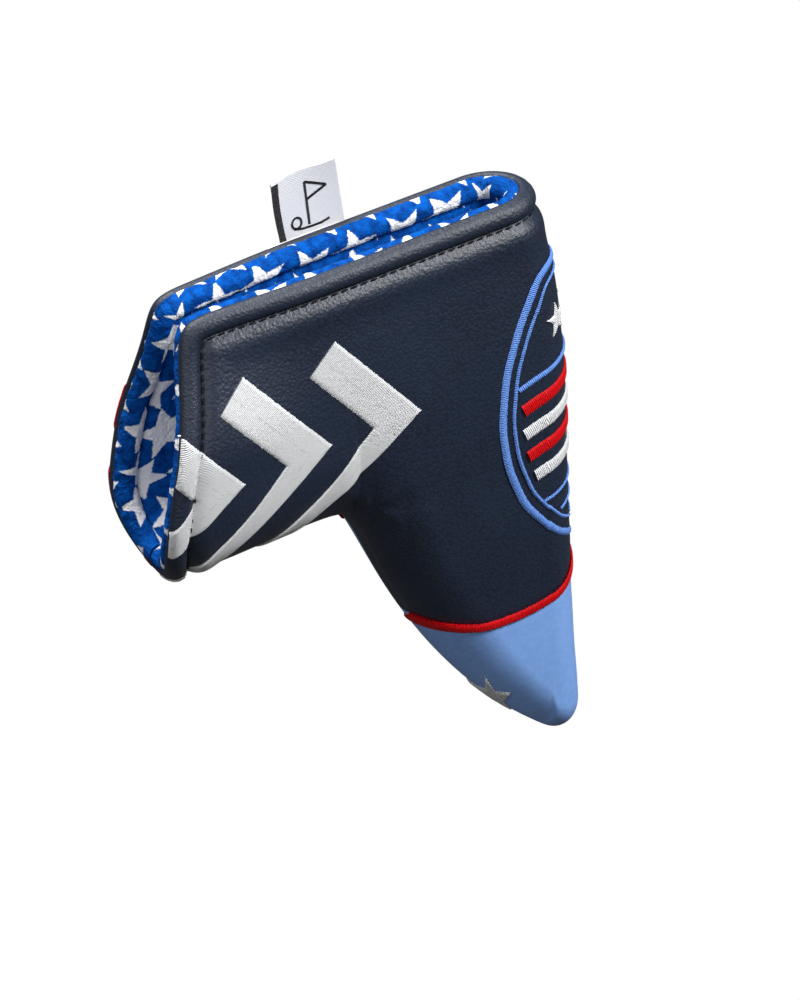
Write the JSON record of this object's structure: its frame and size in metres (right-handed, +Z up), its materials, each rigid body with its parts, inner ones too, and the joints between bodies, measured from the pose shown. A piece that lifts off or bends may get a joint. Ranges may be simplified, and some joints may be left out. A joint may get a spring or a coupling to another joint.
{
  "type": "putter head cover",
  "caption": "Padded blade putter head cover: leather pouch with plush lining, embroidered arrows and crest, and two magnetic mouth flaps on living hinges.",
  "frame": {"origin": "seat of the putter head's toe, on the mid-plane at the bottom of the pouch's hollow", "axes": "+Z up from the toe to the mouth along the spine fold, +X towards the spine fold (away from the shaft), -Y out of the front wall"},
  "size_m": [0.1179, 0.0384, 0.1825],
  "materials": {
    "navy_leather": "pebbled, semi-gloss",
    "sky_leather": "smooth, semi-gloss",
    "white_thread": "satin stitch",
    "red_thread": "satin stitch",
    "pale_blue_thread": "satin stitch",
    "plush": "short plush pile with white stars",
    "foam": "needled padding",
    "magnet": "nickel plated",
    "ribbon": "satin ribbon",
    "black_thread": "woven"
  },
  "bodies": {
    "pocket": {"pocket_shell": "navy_leather", "toe_panel": "sky_leather", "toe_border_stitch": "red_thread", "pocket_foam": "foam", "pocket_lining": "plush", "spine_rim_bead": "navy_leather", "heel_rim_bead": "navy_leather", "toe_star": "white_thread", "crest_border": "pale_blue_thread", "crest_chief": "pale_blue_thread", "crest_star": "white_thread", "crest_stripe_1": "red_thread", "crest_stripe_2": "white_thread", "crest_stripe_3": "red_thread", "crest_stripe_4": "white_thread", "front_chevron_1_lower": "white_thread", "front_chevron_2_lower": "white_thread", "front_chevron_3_lower": "white_thread", "back_chevron_1_lower": "red_thread", "back_chevron_2_lower": "red_thread", "back_chevron_3_lower": "red_thread"},
    "front_flap": {"front_flap_shell": "navy_leather", "front_flap_foam": "foam", "front_flap_lining": "plush", "front_rim_bead": "navy_leather", "front_upper_magnet": "magnet", "front_lower_magnet": "magnet", "front_chevron_1_upper": "white_thread", "front_chevron_2_upper": "white_thread", "front_chevron_3_upper": "white_thread"},
    "back_flap": {"back_flap_shell": "navy_leather", "back_flap_foam": "foam", "back_flap_lining": "plush", "back_rim_bead": "navy_leather", "back_upper_magnet": "magnet", "back_lower_magnet": "magnet", "back_chevron_1_upper": "red_thread", "back_chevron_2_upper": "red_thread", "back_chevron_3_upper": "red_thread", "label_tail": "ribbon"},
    "label": {"woven_label": "ribbon", "label_flag": "black_thread", "label_ball": "black_thread"}
  },
  "joints": [
    {"name": "front_flap_hinge", "type": "hinge", "parent": "pocket", "child": "front_flap", "pos_m": [-0.05125, -0.0145, 0.119], "axis": [0.8682, 0, 0.4961], "range_deg": [-3.5, 28], "stiffness_Nm_per_rad": 0.25},
    {"name": "back_flap_hinge", "type": "hinge", "parent": "pocket", "child": "back_flap", "pos_m": [-0.05125, 0.0145, 0.119], "axis": [-0.8682, 0, -0.4961], "range_deg": [-3.5, 28], "stiffness_Nm_per_rad": 0.25},
    {"name": "label_hinge", "type": "hinge", "parent": "back_flap", "child": "label", "pos_m": [-0.043, 0.013, 0.15], "axis": [1, 0, 0], "range_deg": [-75, 20], "stiffness_Nm_per_rad": 0.0004}
  ]
}
